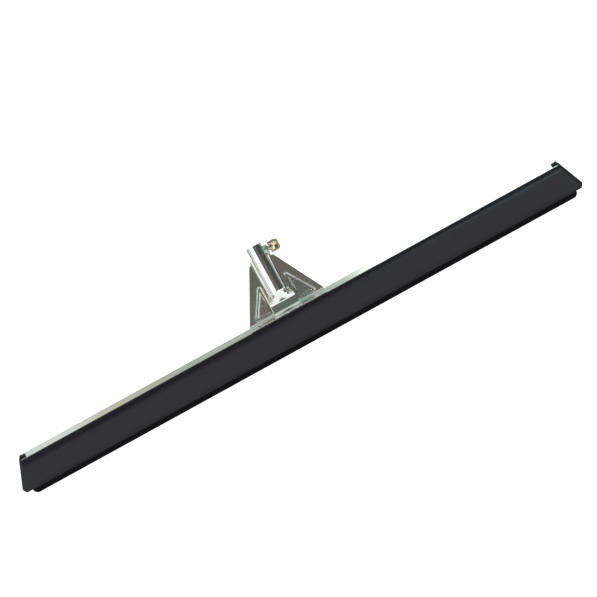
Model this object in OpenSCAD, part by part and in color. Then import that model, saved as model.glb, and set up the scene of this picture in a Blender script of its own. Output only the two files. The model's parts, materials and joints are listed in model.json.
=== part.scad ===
// Floor squeegee head: a zinc-plated rail holds a black profile with two rubber blades,
// and a pressed bracket on the rail carries the socket for the handle.
// X runs along the bar, the front face looks towards -Y and +Z is up.
// The origin lies on the floor, in the middle of the front blade's wiping face.

/* [Blades] */
// Length of each rubber blade
blade_len = 900; // [320:1:1216]
// Thickness of the blade's lip
blade_t = 7; // [4:0.5:8]
// Clear gap between the two blades
blade_gap = 8; // [6:0.5:10]
// Height of the lip below the black profile
lip_h = 9.5; // [7:0.5:20]
// Diameter of the bulb along the blade's root
bulb_d = 10; // [9:0.5:11]
// Height of the bulb's centre above the underside of the profile
bulb_rise = 18; // [12:0.5:20]
// Size of the trimmed corners at the ends of the lip
lip_corner = 5; // [1:0.5:6]
// Size of the small bevels along the wiping edges
lip_edge = 0.8; // [0.2:0.1:1.5]

/* [Black profile] */
// Depth of the profile from its front face to its rear face
bar_depth = 32; // [30:0.5:40]
// Height of the profile from its underside to the crest of its shoulders
holder_h = 46.5; // [42:0.1:60]
// Height of the rounded shoulders, from the straight faces to their crests
shoulder_h = 12.3; // [9:0.1:16]
// Width of the flat crest between each shoulder and the rail
shoulder_land = 0.6; // [0.4:0.1:1]
// Height of the bevel along the lower edge of each face
bevel_h = 6.5; // [2:0.5:8]
// Distance by which that bevel recedes
bevel_d = 1.8; // [0.5:0.1:3]
// Width of the hollow core
core_w = 11; // [7:0.5:12]
// Height of the hollow core
core_h = 8; // [5:0.5:9]
// Thickness of the wall between the hollow core and the rail
core_wall = 4; // [2:0.5:5]

/* [Rail] */
// Width of the rail over its legs
rail_w = 25; // [23:0.1:26]
// Height of the rail's legs, from the top face to the return lips
rail_leg = 12; // [9:0.5:15]
// Width of each return lip, measured from the leg's outside
rail_return = 3.6; // [2.5:0.1:4.5]
// Sheet thickness of the rail
rail_t = 1.2; // [0.8:0.1:1.6]
// Inner bend radius of the rail
rail_bend = 0.6; // [0.3:0.1:1.2]
// Height of the rail's top face above the shoulders
rail_proud = 0.4; // [0.3:0.1:2]

/* [End caps] */
// Distance by which each blade reaches past the rail into its cap
blade_over = 8; // [4:0.5:8]
// Reach of the cap beyond the rail, at the top of the rail
cap_top = 3.4; // [3:0.1:12]
// Reach of the cap beyond the rail, where it is longest
cap_foot = 21; // [18:0.5:30]
// Height of the trimmed corner below that place
cap_trim_h = 7; // [3:0.5:12]
// Distance by which that corner is trimmed at the underside
cap_trim = 4.6; // [2:0.1:6]
// Radius of the end face's upper edge
cap_round = 3.5; // [2:0.5:3.5]
// Radius of the end face's lower edges
cap_edge = 1.5; // [0.5:0.5:3]
// Radius of the cap's upright corners
cap_corner = 6; // [2:0.5:8]
// Length of the hook that lies over the rail
hook_len = 7.5; // [4:0.5:16]
// Width of the hook
hook_w = 7.5; // [6:0.5:14]
// Thickness of the hook
hook_t = 2.25; // [1.5:0.25:4]
// Radius of the hook's corners and edges
hook_r = 1; // [0.4:0.1:1.2]
// Radius of the hook's tip, seen from above
tip_r = 3; // [1:0.1:3]
// Length of the plug in the profile's hollow core
plug_len = 14; // [6:1:30]

/* [Bracket] */
// Angle by which the bracket and the socket lean back
lean = 20; // [12:1:28]
// Width of the plate at the rail
plate_base = 124; // [110:1:160]
// Width of the plate at its top
plate_top = 39.5; // [37:0.5:60]
// Height of the plate along its slope
plate_h = 79; // [68:1:84]
// Sheet thickness of the plate
plate_t = 1.5; // [1:0.1:2]
// Inner radius of the plate's bend at the rail
plate_bend = 2; // [1:0.25:3]
// Radius of the plate's upper corners
plate_corner = 5; // [2:0.5:10]
// Distance of the plate's front face from the rail's rear edge, at the rail
plate_inset = 1.8; // [1:0.1:3]
// Distance of the plate flange's front edge from the rail's front edge
flange_inset = 0.5; // [0.4:0.1:4]
// Width of the pressed beads, where they are grooves in the front face
bead_w = 6; // [5:0.1:6.2]
// Width of each bead's sloping sides
bead_wall = 1.6; // [1.2:0.1:2]
// Radius of the beads' corners, along their middle line
bead_turn = 0.4; // [0.3:0.1:1.5]
// Depth by which the beads are pressed to the rear
bead_h = 1.4; // [0.8:0.1:2]
// Height of the beads' lower corners along the slope
bead_low = 4.5; // [4.5:0.1:12]
// Height of the beads' upper corners along the slope
bead_high = 44.7; // [34:0.1:48]
// Gap between the saddle's flange and the beads
bead_gap = 2.1; // [1:0.1:6]
// Distance of the beads' outer corners from the plate's slanted edge
bead_margin = 12.2; // [8:0.1:16]

/* [Socket] */
// Diameter of the handle that the socket takes
handle_d = 22; // [20:0.5:24]
// Gap all round between the handle and the socket
handle_clear = 0.2; // [0.1:0.05:0.4]
// Wall thickness of the socket tube
tube_t = 1.2; // [1:0.1:1.8]
// Height of the tube's lower end along the slope
tube_foot = 28; // [26:0.5:32]
// Length of the tube
tube_len = 72.5; // [60:0.5:90]
// Sheet thickness of the saddle
saddle_t = 1.2; // [0.8:0.1:1.5]
// Distance of the saddle's upper edge below the screw
saddle_drop = 4.8; // [3:0.1:14]
// Gap round the nut where the saddle's upper edge is cut away for it
saddle_gap = 0.5; // [0.4:0.1:3]
// Width of the saddle's flat flanges on the plate
saddle_flange = 2; // [1:0.1:3]
// Radius of the flanges' bends
saddle_bend = 1.6; // [1.2:0.1:2.5]
// Radius of the flanges' upper corners
saddle_corner = 4; // [1:0.5:8]
// Width of the flared foot
foot_w = 40; // [36:0.5:46]
// Radius of the crease between saddle and ramp
crease_r = 5; // [3:0.5:6]
// Radius of the hollow bend at the ramp's lower end
hollow_r = 4; // [2:0.5:6]
// Angle of the slope that follows
foot_slope = 65; // [50:1:75]
// Length of that slope
slope_len = 8.5; // [3:0.5:10]
// Radius of the hollow bend between the slope and the foot's flange
foot_bend = 9; // [6:0.5:11]
// Length of the foot's flat stretch on the plate's flange
foot_flat = 0.4; // [0.3:0.1:3]
// Distance between the front edges of the foot and of the plate's flange
foot_inset = 1.8; // [1.8:0.1:3]
// Sideways distance between the weld spots
weld_pitch = 16; // [8:0.5:17]
// Radius of a weld spot
weld_r = 1.6; // [0.8:0.1:1.7]
// Length of a weld spot between its round ends
weld_len = 2.4; // [0.5:0.1:4]

/* [Clamp screw] */
// Thread diameter of the screw
screw_d = 8; // [6:0.5:8]
// Distance of the screw below the tube's upper end
screw_drop = 12.2; // [9:0.1:16]
// Width of the nut across its flats
nut_flats = 13; // [11:0.5:14]
// Height of the nut's top face above the tube
nut_h = 5.4; // [4.5:0.1:9]
// Height of the round base under the hexagon, above the tube
nut_base = 2.2; // [1.5:0.1:3.5]
// Gap between the nut and the screw's head
head_gap = 1.7; // [1.6:0.1:8]
// Length of the head
head_len = 16; // [14:0.1:18]
// Width of the head's thumb piece
head_w = 18; // [16:0.1:21]
// Thickness of the thumb piece
head_t = 3.6; // [2.8:0.1:5]
// Length over which the head widens to the thumb piece
waist = 2.4; // [1.5:0.1:6]
// Radius of the thumb piece's inner corners
waist_r = 1.2; // [0.5:0.1:2]
// Radius of the thumb piece's outer corners
head_corner = 5; // [2:0.1:6]
// Depth of the thumb hollows in the head
dish = 0.7; // [0.2:0.1:0.9]
// Radius of the thumb hollows' rims
dish_rim = 6.1; // [4:0.1:7]
// Distance of the hollows' rims from the head's end
dish_inset = 0.6; // [0.3:0.1:2]
// Wall of the head's round collar
collar_t = 1.4; // [1:0.1:2.5]
// Length of the collar, in which the shank is seated
collar_len = 6; // [4:0.1:8]
// Bevel at the screw's tip
tip_bevel = 1; // [0.5:0.1:2]
// Turn of the thumb piece at rest
head_turn = 14; // [-90:1:90]

/* [Fits] */
// Gap between pieces that are pushed or slid together
fit_gap = 0.15; // [0.05:0.05:0.3]
// Gap between sheets and tubes that lie on each other
seat_gap = 0.05; // [0.01:0.01:0.1]
// Gap all round between the screw and its nut or its head
thread_gap = 0.06; // [0.02:0.01:0.1]
// Gap all round between the screw and its hole in the tube, and from its tip to the bore
hole_gap = 0.3; // [0.2:0.1:0.5]

/* [Hidden] */
$fn = 64;
dish_fn = 160;
far = 300;
eps = 0.01;

// Along the bar
bar_len = blade_len - 2 * blade_over;

// Heights above the floor
holder_low = lip_h;
shoulder_top = holder_low + holder_h;
rail_top = shoulder_top + rail_proud;
rail_low = rail_top - rail_leg;
bulb_z = holder_low + bulb_rise;
core_top = rail_top - rail_t - core_wall;
plate_low = rail_top + seat_gap;
seat_z = plate_low + plate_t;
foot_low = seat_z + seat_gap;

// Distances from the middle of the bar's depth
blade_y = (blade_gap + blade_t) / 2;
shoulder_in = bar_depth / 2 - rail_w / 2 - fit_gap - shoulder_land;
shoulder_r = (shoulder_in * shoulder_in + shoulder_h * shoulder_h) / (2 * shoulder_in);
plate_y = rail_w / 2 - plate_inset;
flange_front = -rail_w / 2 + flange_inset;
foot_front = flange_front + foot_inset;

// The socket, with heights measured along the slope and depths square to the plate
bore_r = handle_d / 2 + handle_clear;
tube_r = bore_r + tube_t;
axis_n = tube_r + seat_gap;
tube_top = tube_foot + tube_len;
screw_s = tube_top - screw_drop;
nut_corner = nut_flats / 2 / cos(30);
saddle_top = screw_s - saddle_drop;

// The screw, with distances measured sideways from the tube's axis
screw_r = screw_d / 2;
nut_top = tube_r + nut_h;
tip_x = bore_r + hole_gap;
head_x = nut_top + head_gap;
shank_end = head_x + collar_len - 2 * hole_gap;
collar_r = screw_r + collar_t;
dish_r = (dish_rim * dish_rim + dish * dish) / (2 * dish);

// The middle surface of the saddle's sheet, measured from the plate's front face
crown_r = tube_r + seat_gap + saddle_t / 2;
crown_n = axis_n + crown_r;
flange_n = seat_gap + saddle_t / 2;
saddle_edge = crown_r + saddle_bend + saddle_flange;
bead_inner = saddle_edge + bead_gap + bead_w / 2;

// Puts what is drawn around the middle of the bar into the part's own frame
module in_frame() translate([0, blade_y, 0]) children();

// Draws in the plate's frame: Z runs up the slope and -Y stands square to the plate's front face
module on_slope() translate([0, plate_y, seat_z]) rotate([-lean, 0, 0]) children();

// Draws on the screw's axis, with Z pointing out of the tube's side
module on_screw() on_slope() translate([0, -axis_n, screw_s]) rotate([0, 90, 0]) children();

// Extrudes a section, drawn as depth and height, along the bar from one place to another
module along_bar(from, to) translate([from, 0, 0]) rotate([90, 0, 90]) linear_extrude(to - from) children();

// A rectangle with round corners that stands on the horizontal axis
module round_rect(w, h, r) {
    translate([-w / 2 + r, 0]) square([w - 2 * r, h]);
    translate([-w / 2, r]) square([w, h - 2 * r]);
    for (x = [-1, 1], y = [r, h - r]) translate([x * (w / 2 - r), y]) circle(r);
}

// The outline of a polygon in which each corner with a radius becomes an arc
function unit(v) = v / norm(v);
function half_angle(a, b, c) = acos(unit(a - b) * unit(c - b)) / 2;
function arc_centre(a, b, c, r) = b + unit(unit(a - b) + unit(c - b)) * r / sin(half_angle(a, b, c));
function corner_arc(a, b, c, r, steps) =
    let (centre = arc_centre(a, b, c, r), cut = r / tan(half_angle(a, b, c)))
    let (from = b + unit(a - b) * cut - centre, to = b + unit(c - b) * cut - centre)
    let (step = (180 - 2 * half_angle(a, b, c)) / steps)
    [for (i = [0:steps]) centre + unit(from * sin(step * (steps - i)) + to * sin(step * i)) * r];
function rounded(points, radii, steps = 10) = [
    for (i = [0:len(points) - 1])
        let (n = len(points), a = points[(i + n - 1) % n], b = points[i], c = points[(i + 1) % n])
        each radii[i] == 0 ? [b] : corner_arc(a, b, c, radii[i], steps)
];

// Section of the rail, or of the pocket that takes it when grown by a gap
module rail_section(grow = 0) {
    inner_w = rail_w - 2 * rail_t - 2 * grow;
    inner_h = rail_leg - 2 * rail_t - 2 * grow;
    slot_w = rail_w - 2 * rail_return - 2 * grow;
    difference() {
        translate([0, rail_low - grow])
            round_rect(rail_w + 2 * grow, rail_leg + 2 * grow, rail_bend + rail_t);
        translate([0, rail_low + rail_t + grow]) round_rect(inner_w, inner_h, rail_bend);
        translate([-slot_w / 2, rail_low - rail_t]) square([slot_w, 3 * rail_t]);
    }
}

// Section of one blade: a lip with bevelled wiping edges and a bulb along the root
module blade_section(grow = 0) {
    half = blade_t / 2 + grow;
    polygon([[-half, bulb_z], [-half, lip_edge], [-half + lip_edge, 0],
        [half - lip_edge, 0], [half, lip_edge], [half, bulb_z]]);
    translate([0, bulb_z]) circle(bulb_d / 2 + grow);
}

// Outline of the black profile: straight faces, long round shoulders and bevelled lower edges
module holder_outline() {
    half = bar_depth / 2;
    shoulder_z = shoulder_top - shoulder_h;
    polygon([[-half, shoulder_z], [-half, holder_low + bevel_h], [-half + bevel_d, holder_low],
        [half - bevel_d, holder_low], [half, holder_low + bevel_h], [half, shoulder_z]]);
    translate([-rail_w / 2, shoulder_z]) square([rail_w, shoulder_h]);
    for (side = [-1, 1]) intersection() {
        translate([side * half - half, shoulder_z]) square([bar_depth, shoulder_h]);
        translate([side * (half - shoulder_r), shoulder_z]) circle(shoulder_r);
    }
}

// The hollow core of the profile, or the plug that fits it when shrunk by a gap
module core_section(shrink = 0)
    translate([-core_w / 2 + shrink, core_top - core_h + shrink])
        square([core_w - 2 * shrink, core_h - 2 * shrink]);

// Zinc-plated channel with return lips
module rail() color("gainsboro") along_bar(-bar_len / 2, bar_len / 2) rail_section();

// Black profile: a pocket for the rail, a hollow core and two keyhole channels for the blades
module blade_holder() color([0.18, 0.18, 0.20]) along_bar(-bar_len / 2, bar_len / 2) difference() {
    holder_outline();
    rail_section(fit_gap);
    // The rail's top face takes the place of whatever stands above its underside
    translate([-rail_w / 2, rail_top - rail_t - fit_gap]) square([rail_w, far]);
    core_section();
    for (side = [-1, 1]) translate([side * blade_y, 0]) blade_section(fit_gap);
}

// Rubber blade with trimmed lower corners at both ends
module blade(side) color([0.09, 0.09, 0.10]) translate([0, side * blade_y, 0]) difference() {
    along_bar(-blade_len / 2, blade_len / 2) blade_section();
    for (end = [-1, 1])
        translate([end * blade_len / 2, 0, 0]) rotate([0, 45, 0])
            cube([lip_corner * sqrt(2), far, lip_corner * sqrt(2)], center = true);
}
module front_blade() blade(-1);
module rear_blade() blade(1);

// End cap at the +X end: slanted end face, hook over the rail, plug in the core, slots for the blades
module end_cap() color([0.14, 0.15, 0.14]) {
    start = bar_len / 2;
    hook_top = rail_top + hook_t;
    longest_z = holder_low + cap_trim_h;
    slant = atan((cap_foot - cap_top) / (rail_top - longest_z));
    foot_x = start + cap_foot;
    top_x = foot_x - (hook_top - longest_z) * tan(slant);
    difference() {
        union() {
            intersection() {
                along_bar(start, foot_x) {
                    holder_outline();
                    translate([-rail_w / 2, holder_low]) square([rail_w, rail_top - holder_low]);
                    translate([0, rail_low]) round_rect(hook_w, hook_top - rail_low, hook_r);
                }
                rotate([90, 0, 0]) linear_extrude(far, center = true)
                    polygon(rounded([[start - far, holder_low], [foot_x - cap_trim, holder_low],
                        [foot_x, longest_z], [top_x, hook_top], [start - far, hook_top]],
                        [0, cap_edge, cap_edge, cap_round, 0]));
            }
            // Hook, with a round tip
            intersection() {
                along_bar(start - hook_len, start + eps) difference() {
                    translate([0, rail_low]) round_rect(hook_w, hook_top - rail_low, hook_r);
                    translate([-hook_w, rail_low]) square([2 * hook_w, plate_low - rail_low]);
                }
                translate([start - hook_len, 0, 0]) rotate([0, 0, -90])
                    linear_extrude(far) round_rect(hook_w, 2 * hook_len, tip_r);
            }
            along_bar(start - plug_len, start + eps) core_section(fit_gap);
        }
        for (side = [-1, 1]) {
            // Upright corner, rounded along the slant
            translate([foot_x, side * bar_depth / 2, longest_z]) rotate([0, -slant, 0]) difference() {
                cube([2 * cap_corner, 2 * cap_corner, far], center = true);
                translate([-cap_corner, -side * cap_corner, 0])
                    cylinder(h = 2 * far, r = cap_corner, center = true);
            }
            // Slot that takes the end of a blade
            along_bar(start - eps, blade_len / 2 + fit_gap)
                translate([side * blade_y, 0]) blade_section(fit_gap);
        }
    }
}
module end_cap_right() end_cap();
module end_cap_left() mirror([1, 0, 0]) end_cap();

// Half width of the plate at a height on the slope
function plate_edge(s) = plate_base / 2 - (plate_base - plate_top) / 2 * s / plate_h;

// The right bead follows a triangle. Its outline, grown sideways from the middle line:
bead_outer = plate_edge(bead_low) - bead_margin;
bead_points = [[bead_inner, bead_low], [bead_outer, bead_low], [bead_inner, bead_high]];
bead_steps = 6;
bead_shift = plate_t * tan(25);
function grown_corner(a, b, c, grow) = arc_centre(a, b, c, -grow);
function bead_line(grow) =
    let (p = bead_points, r = bead_turn + max(grow, 0))
    let (corners = [for (i = [0:2]) grown_corner(p[(i + 2) % 3], p[i], p[(i + 1) % 3], grow)])
    rounded(corners, [r, r, r], bead_steps);

// Section of a bead, as distances sideways and to the rear: a flat bottom between two sloping sides that
// start a little in front of a face, and straight sides from there to a lower place
bead_root = 0.2;
function bead_section(half, face, low) = concat([[half, low], [-half, low]], [
    for (side = [-1, 1], i = [0:bead_steps])
        let (k = (side < 0 ? i : bead_steps - i) / bead_steps)
        [side * (half - bead_wall * k), face - bead_root + (bead_h + bead_root) * (1 - cos(180 * k)) / 2]
]);

// A closed ring of such a section along the bead's line, on both sides of the plate
module bead_rings(section) {
    around = len(bead_line(0));
    points = [for (p = section) for (m = bead_line(p[0])) [m[0], p[1], m[1]]];
    faces = [
        for (k = [0:len(section) - 1], m = [0:around - 1])
            let (k1 = (k + 1) % len(section), m1 = (m + 1) % around)
            let (p = k * around + m, q = k * around + m1, s = k1 * around + m1, t = k1 * around + m)
            each [[p, s, q], [p, t, s]]
    ];
    for (side = [0, 1]) mirror([side, 0, 0]) polyhedron(points, faces);
}

// Side view of the plate: a flange on the rail, a bend and the leaning sheet
bend_s = plate_bend * tan((90 - lean) / 2);
module plate_profile() {
    translate([flange_front, plate_low]) square([plate_y - bend_s - flange_front, plate_t]);
    translate([plate_y, seat_z]) rotate(-lean) {
        translate([0, bend_s]) square([plate_t, 2 * plate_h]);
        // The bend, a ring cut to the angle between sheet and flange
        translate([-plate_bend, bend_s]) intersection() {
            difference() {
                circle(plate_bend + plate_t);
                circle(plate_bend);
            }
            polygon([[0, 0], [far, 0], [far, -far], far * [sin(lean), -cos(lean)]]);
        }
    }
}

// Pressed plate with a bead on each side of the socket and a flange that lies on the rail
module bracket_plate() color([0.55, 0.53, 0.50]) difference() {
    half = plate_edge(bend_s);
    union() {
        intersection() {
            along_bar(-plate_base, plate_base) plate_profile();
            on_slope() rotate([90, 0, 0]) linear_extrude(far, center = true)
                polygon(rounded([[-half, -far], [half, -far], [half, bend_s], [plate_top / 2, plate_h],
                    [-plate_top / 2, plate_h], [-half, bend_s]], [0, 0, 0, plate_corner, plate_corner, 0]));
        }
        on_slope() bead_rings(bead_section(bead_w / 2 + bead_shift, plate_t, plate_t / 2));
    }
    // The groove in front of each bead keeps the sheet's thickness
    on_slope() bead_rings(bead_section(bead_w / 2, 0, -plate_t));
}

// The saddle's path down its crown: along the tube, over a crease, down a ramp, through a hollow bend,
// down a slope and through another hollow bend onto the plate's flange. Directions are angles in the
// plane of Y and Z, and the ramp is the straight line that touches the circles of crease and first bend.
function on_plate(s, n) =
    [plate_y + s * sin(lean) - n * cos(lean), seat_z + s * cos(lean) + n * sin(lean)];
function heading(a) = [cos(a), sin(a)];
function left_of(a) = [-sin(a), cos(a)];
crease_at = on_plate(tube_foot, crown_n);
fall = -90 - lean;
crease_c = crease_at + crease_r * left_of(fall);
slope = foot_slope - 180;
foot_c = [foot_front + foot_flat, foot_low + saddle_t / 2 + foot_bend];
hollow_c = foot_c + (foot_bend - hollow_r) * left_of(slope) - slope_len * heading(slope);
centres = hollow_c - crease_c;
ramp_len = sqrt(centres * centres - pow(crease_r + hollow_r, 2));
ramp = atan2(centres[1], centres[0]) + atan2(crease_r + hollow_r, ramp_len);
crease_len = crease_r * (ramp - fall) * PI / 180;

// Share of the way from omega section to flat foot, at a distance below the crease's start
function flattened(way) = let (t = way / (crease_len + ramp_len)) t * t * (3 - 2 * t);

// Stations along the path: the crown's place, how flat the section is, and the width of its flanges
corner_steps = 5;
crease_steps = 5;
ramp_steps = 7;
hollow_steps = 4;
foot_steps = 7;
stations = [
    for (i = [0:corner_steps])
        let (q = 90 * i / corner_steps)
        let (s = saddle_top - saddle_corner * (1 - cos(q)))
        [on_plate(s, crown_n), 0, saddle_flange * max(0.15, sin(q))],
    for (i = [0:crease_steps])
        let (a = fall + (ramp - fall) * i / crease_steps)
        [crease_c - crease_r * left_of(a), flattened(crease_len * i / crease_steps), saddle_flange],
    for (i = [1:ramp_steps])
        let (way = ramp_len * i / ramp_steps, foot = crease_c - crease_r * left_of(ramp))
        [foot + way * heading(ramp), flattened(crease_len + way), saddle_flange],
    for (i = [1:hollow_steps])
        let (a = ramp + (slope - ramp) * i / hollow_steps)
        [hollow_c + hollow_r * left_of(a), 1, saddle_flange],
    for (i = [0:foot_steps])
        let (a = slope + (-180 - slope) * i / foot_steps)
        [foot_c + foot_bend * left_of(a), 1, saddle_flange],
    [[foot_front, foot_low + saddle_t / 2], 1, saddle_flange],
];

// Right half of the omega section, as distances sideways and down from the crown
crown_steps = 10;
root_steps = 3;
omega_h = crown_n - flange_n;
omega = [
    for (i = [0:crown_steps])
        let (q = 90 * i / crown_steps)
        crown_r * [sin(q), 1 - cos(q)],
    for (i = [0:root_steps])
        let (q = 90 * i / root_steps)
        [crown_r, omega_h - saddle_bend] + saddle_bend * [1 - cos(q), sin(q)],
    [saddle_edge, omega_h],
];
function run_to(k) = k == 0 ? 0 : run_to(k - 1) + norm(omega[k] - omega[k - 1]);
omega_last = len(omega) - 1;
omega_run = run_to(omega_last);

// A point of the sheet's middle surface: station i, and point j of the section from -last to +last
function sheet_point(i, j) =
    let (st = stations[i], k = abs(j), side = sign(j), flat = st[1])
    let (x = k == omega_last ? saddle_edge - saddle_flange + st[2] : omega[k][0])
    let (drop = (1 - flat) * omega[k][1])
    let (wide = (1 - flat) * x + flat * foot_w / 2 * run_to(k) / omega_run)
    [side * wide, st[0][0] + drop * cos(lean), st[0][1] - drop * sin(lean)];
function sheet_normal(i, j) =
    let (i0 = max(i - 1, 0), i1 = min(i + 1, len(stations) - 1))
    let (j0 = max(j - 1, -omega_last), j1 = min(j + 1, omega_last))
    unit(cross(sheet_point(i1, j) - sheet_point(i0, j), sheet_point(i, j1) - sheet_point(i, j0)));

// A sheet of even thickness, made of two skins that are closed along their edges
module saddle_sheet() {
    rows = len(stations);
    cols = 2 * omega_last + 1;
    skin = rows * cols;
    function at(layer, i, j) = layer * skin + i * cols + j;
    function quad(a, b, c, d) = [[a, b, c], [a, c, d]];
    points = [
        for (layer = [1, -1], i = [0:rows - 1], j = [-omega_last:omega_last])
            sheet_point(i, j) + layer * saddle_t / 2 * sheet_normal(i, j)
    ];
    faces = [
        for (i = [0:rows - 2], j = [0:cols - 2]) each concat(
            quad(at(0, i, j), at(0, i, j + 1), at(0, i + 1, j + 1), at(0, i + 1, j)),
            quad(at(1, i, j), at(1, i + 1, j), at(1, i + 1, j + 1), at(1, i, j + 1))),
        for (j = [0:cols - 2]) each concat(
            quad(at(0, 0, j), at(1, 0, j), at(1, 0, j + 1), at(0, 0, j + 1)),
            quad(at(0, rows - 1, j), at(0, rows - 1, j + 1), at(1, rows - 1, j + 1), at(1, rows - 1, j))),
        for (i = [0:rows - 2]) each concat(
            quad(at(0, i, 0), at(0, i + 1, 0), at(1, i + 1, 0), at(1, i, 0)),
            quad(at(0, i, cols - 1), at(1, i, cols - 1), at(1, i + 1, cols - 1), at(0, i + 1, cols - 1))),
    ];
    polyhedron(points, faces);
}

// Pressing that wraps the tube, is cut away for the nut and runs out into the flared foot
module socket_saddle() color("silver") difference() {
    saddle_sheet();
    on_screw() cylinder(h = far, r = nut_corner + saddle_gap);
}

// Round socket for the handle, with a hole for the clamp screw
module socket_tube() color([0.78, 0.80, 0.80]) {
    difference() {
        on_slope() translate([0, -axis_n, tube_foot]) difference() {
            cylinder(h = tube_len, r = tube_r);
            translate([0, 0, -eps]) cylinder(h = tube_len + 2 * eps, r = bore_r);
        }
        on_screw() cylinder(h = far, r = screw_r + hole_gap);
    }
}

// Weld spots along the front edge of the foot
module foot_welds() color([0.9, 0.9, 0.88]) for (i = [-1:1])
    translate([i * weld_pitch, foot_front - seat_gap, foot_low]) intersection() {
        rotate([0, 90, 0]) {
            cylinder(h = weld_len, r = weld_r, center = true);
            for (end = [-1, 1]) translate([0, 0, end * weld_len / 2]) sphere(weld_r);
        }
        translate([-far / 2, -far, 0]) cube(far);
    }

// Nut on the side of the tube: a round base that fits the tube, and a hexagon with a bevelled top
module weld_nut() color([0.70, 0.72, 0.68]) difference() {
    on_screw() {
        cylinder(h = tube_r + nut_base, r = nut_corner);
        intersection() {
            cylinder(h = nut_top, r = nut_corner, $fn = 6);
            cylinder(h = nut_top, r1 = nut_flats / 2 + nut_top / tan(30), r2 = nut_flats / 2);
        }
    }
    on_slope() translate([0, -axis_n, 0]) cylinder(h = far, r = tube_r + seat_gap);
    on_screw() cylinder(h = far, r = screw_r + thread_gap);
}

// Threaded shank with a bevelled tip
module clamp_screw() color([0.72, 0.73, 0.70]) on_screw() translate([0, 0, tip_x]) {
    cylinder(h = tip_bevel, r1 = screw_r - tip_bevel, r2 = screw_r);
    translate([0, 0, tip_bevel]) cylinder(h = shank_end - tip_x - tip_bevel, r = screw_r);
}

// Flat head with a thumb hollow in each face, seated on the shank by a round collar
module thumb_head() color([0.72, 0.66, 0.46])
on_screw() translate([0, 0, head_x]) rotate(head_turn) difference() {
    union() {
        cylinder(h = collar_len, r = collar_r);
        translate([0, 0, collar_len]) cylinder(h = collar_r - head_t / 2, r1 = collar_r, r2 = head_t / 2);
        difference() {
            rotate([90, 0, 0]) linear_extrude(head_t, center = true)
                polygon(rounded([[-screw_r, 0], [screw_r, 0], [head_w / 2, waist], [head_w / 2, head_len],
                    [-head_w / 2, head_len], [-head_w / 2, waist]],
                    [0, 0, waist_r, head_corner, head_corner, waist_r]));
            for (side = [-1, 1])
                translate([0, side * (head_t / 2 + dish_r - dish), head_len - dish_rim - dish_inset])
                    sphere(dish_r, $fn = dish_fn);
        }
    }
    translate([0, 0, -eps]) cylinder(h = shank_end - head_x + hole_gap, r = screw_r + thread_gap);
}

in_frame() rail();
in_frame() blade_holder();
in_frame() front_blade();
in_frame() rear_blade();
in_frame() end_cap_left();
in_frame() end_cap_right();
in_frame() bracket_plate();
in_frame() socket_saddle();
in_frame() socket_tube();
in_frame() foot_welds();
in_frame() weld_nut();
in_frame() clamp_screw();
in_frame() thumb_head();
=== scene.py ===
"""Dresses a floor squeegee: plating, plastic, rubber, a clamp screw with its cast head, and a studio."""
import json
import math
from typing import NamedTuple

import bmesh
import bpy
from bpy.props import FloatProperty, FloatVectorProperty, IntProperty, PointerProperty
from mathutils import Matrix, Vector


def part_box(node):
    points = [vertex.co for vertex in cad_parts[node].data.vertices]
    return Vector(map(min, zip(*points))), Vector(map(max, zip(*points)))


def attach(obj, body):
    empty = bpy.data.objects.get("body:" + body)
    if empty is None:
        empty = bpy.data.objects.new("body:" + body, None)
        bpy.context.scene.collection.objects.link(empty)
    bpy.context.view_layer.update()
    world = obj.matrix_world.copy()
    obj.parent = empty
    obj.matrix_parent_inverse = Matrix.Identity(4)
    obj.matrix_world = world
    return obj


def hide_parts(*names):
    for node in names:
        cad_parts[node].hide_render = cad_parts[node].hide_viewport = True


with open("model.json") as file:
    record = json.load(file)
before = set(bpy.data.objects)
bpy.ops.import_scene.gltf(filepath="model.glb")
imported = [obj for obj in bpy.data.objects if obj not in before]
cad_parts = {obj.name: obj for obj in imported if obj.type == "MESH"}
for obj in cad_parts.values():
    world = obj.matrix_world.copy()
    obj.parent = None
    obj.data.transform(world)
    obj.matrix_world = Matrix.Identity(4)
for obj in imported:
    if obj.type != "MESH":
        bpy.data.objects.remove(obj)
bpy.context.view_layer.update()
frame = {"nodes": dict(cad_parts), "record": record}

bl_info = {
    "name": "Floor Squeegee",
    "version": (1, 0, 0),
    "blender": (4, 5, 0),
    "location": "3D View > Sidebar > Squeegee",
    "description": "Finishes, pressed bracket, clamp screw and studio for a floor squeegee",
    "category": "Object",
}

# Directions: along the bar, from its front to its rear, and up
ALONG = (1.0, 0.0, 0.0)
REARWARD = (0.0, 1.0, 0.0)
UP = (0.0, 0.0, 1.0)

# The handle socket's leaning axis, and the height of its middle
SOCKET = next(mount for mount in frame["record"]["mounts"] if mount["name"] == "handle_socket")
SOCKET_AXIS = tuple(SOCKET["axis"])
SOCKET_Z = SOCKET["pos_m"][2]

# Middle of the bar's depth, and half of its whole length
BAR_Y = (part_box("blade_holder")[0].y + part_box("blade_holder")[1].y) / 2
BAR_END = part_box("end_cap_right")[1].x

# Thickness of the bracket plate's sheet, and the top of the flange by which it lies on the rail
PLATE_SHEET = 0.0015
FLANGE_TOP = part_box("bracket_plate")[0].z + PLATE_SHEET

# Bends up to this angle are smooth, and facets that are this near to flat become one face
SMOOTH_BEND = math.radians(40.0)
FLAT_PAIR = math.radians(25.0)

# Points that are this close are one point, and a length under this is none
SAME_POINT = 1e-6
NO_LENGTH = 1e-7

# The cast head: fillet round its collar, gap to the shank's end and half thickness that counts as its rim,
# then its rows, its points across the flat of a row and its steps round an edge
COLLAR_FILLET = 0.0018
HEAD_SEAT = 0.00002
RIM = 0.0000005
HEAD_ROWS = 32
HEAD_COLUMNS = 30
HEAD_ARC = 8

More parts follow.
